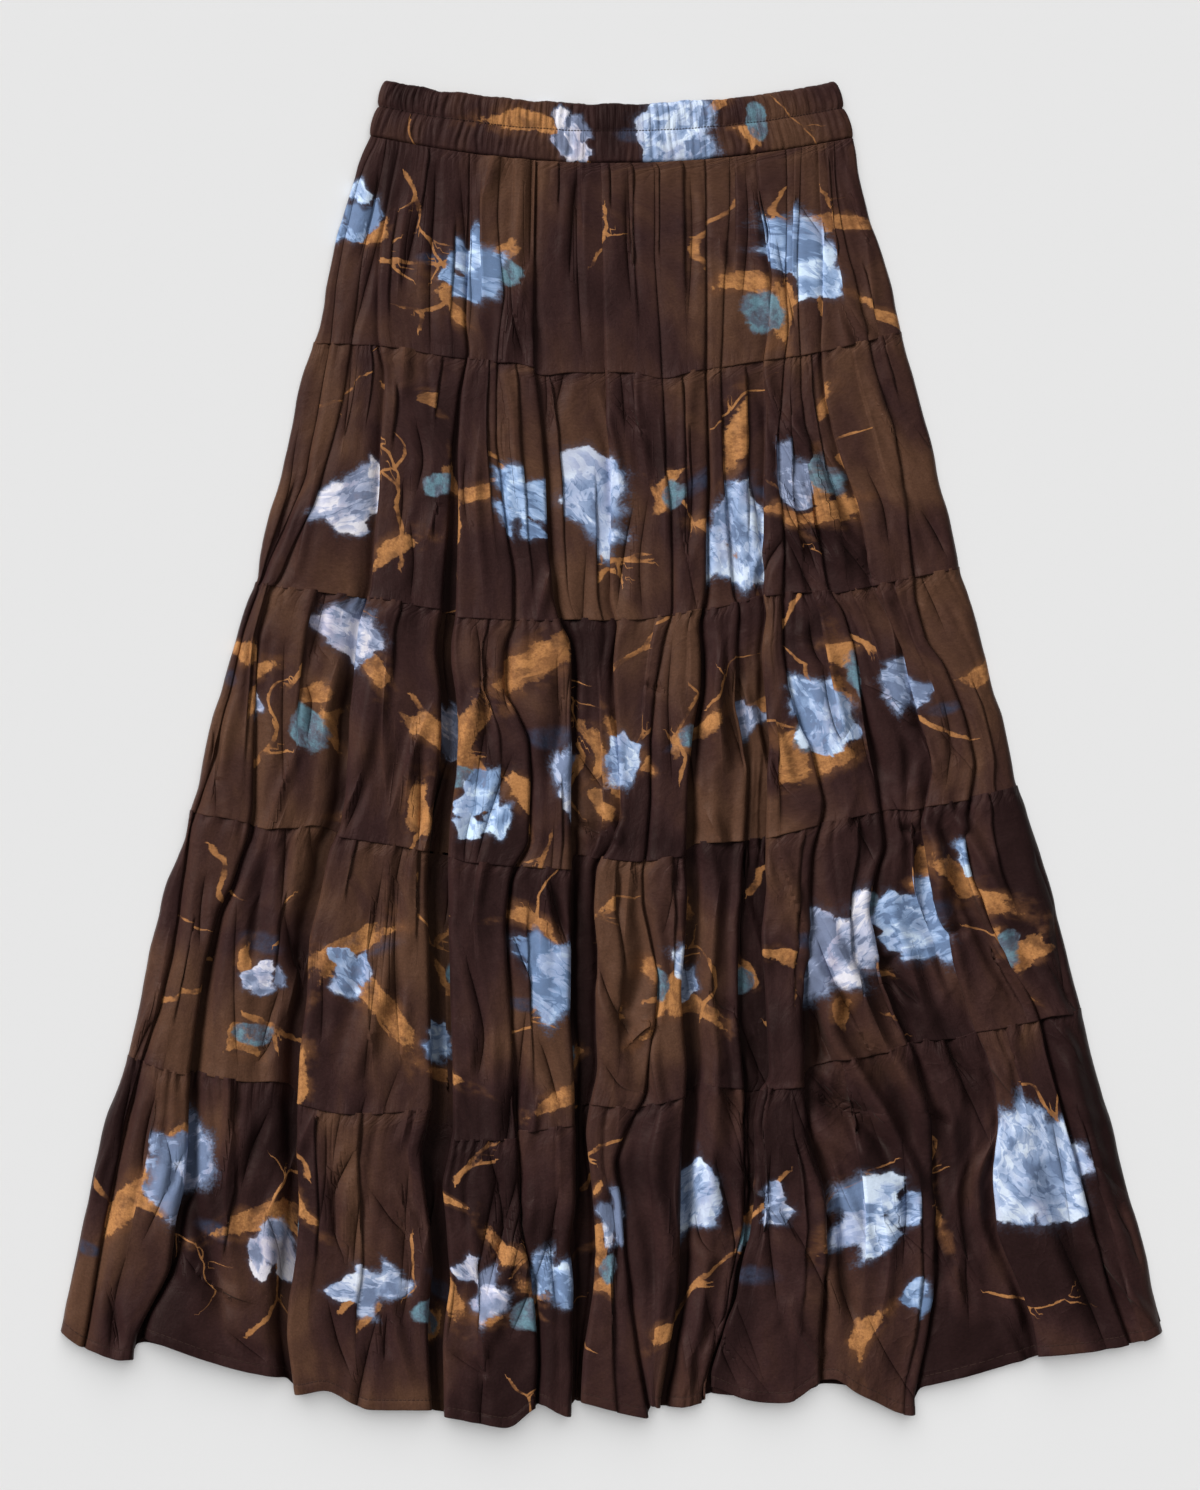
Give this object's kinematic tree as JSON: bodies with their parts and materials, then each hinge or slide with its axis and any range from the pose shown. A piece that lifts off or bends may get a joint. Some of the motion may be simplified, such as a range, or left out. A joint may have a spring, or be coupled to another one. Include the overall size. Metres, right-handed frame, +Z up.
{
  "type": "tiered gathered midi skirt",
  "caption": "Flared midi skirt of gathered tiers of printed satin under an elasticated waistband, lying flat, front panels on back panels.",
  "frame": {"origin": "middle of the laid skirt's outline, on the surface it lies on", "axes": "+X across the skirt to the right as seen from above, +Y from hem to waist, +Z up off the surface, from the back panels to the front panels"},
  "size_m": [0.7484, 0.9122, 0.0097],
  "materials": {
    "printed_satin": "soft satin, brown ground with pale blue, ochre and slate blossoms",
    "waistband": "the same satin, gathered over elastic"
  },
  "bodies": {
    "root": {"waistband_front": "waistband", "waistband_back": "waistband", "tier1_front": "printed_satin", "tier1_back": "printed_satin", "tier2_front": "printed_satin", "tier2_back": "printed_satin", "tier3_front": "printed_satin", "tier3_back": "printed_satin", "tier4_front": "printed_satin", "tier4_back": "printed_satin", "tier5_front": "printed_satin", "tier5_back": "printed_satin"}
  },
  "joints": []
}
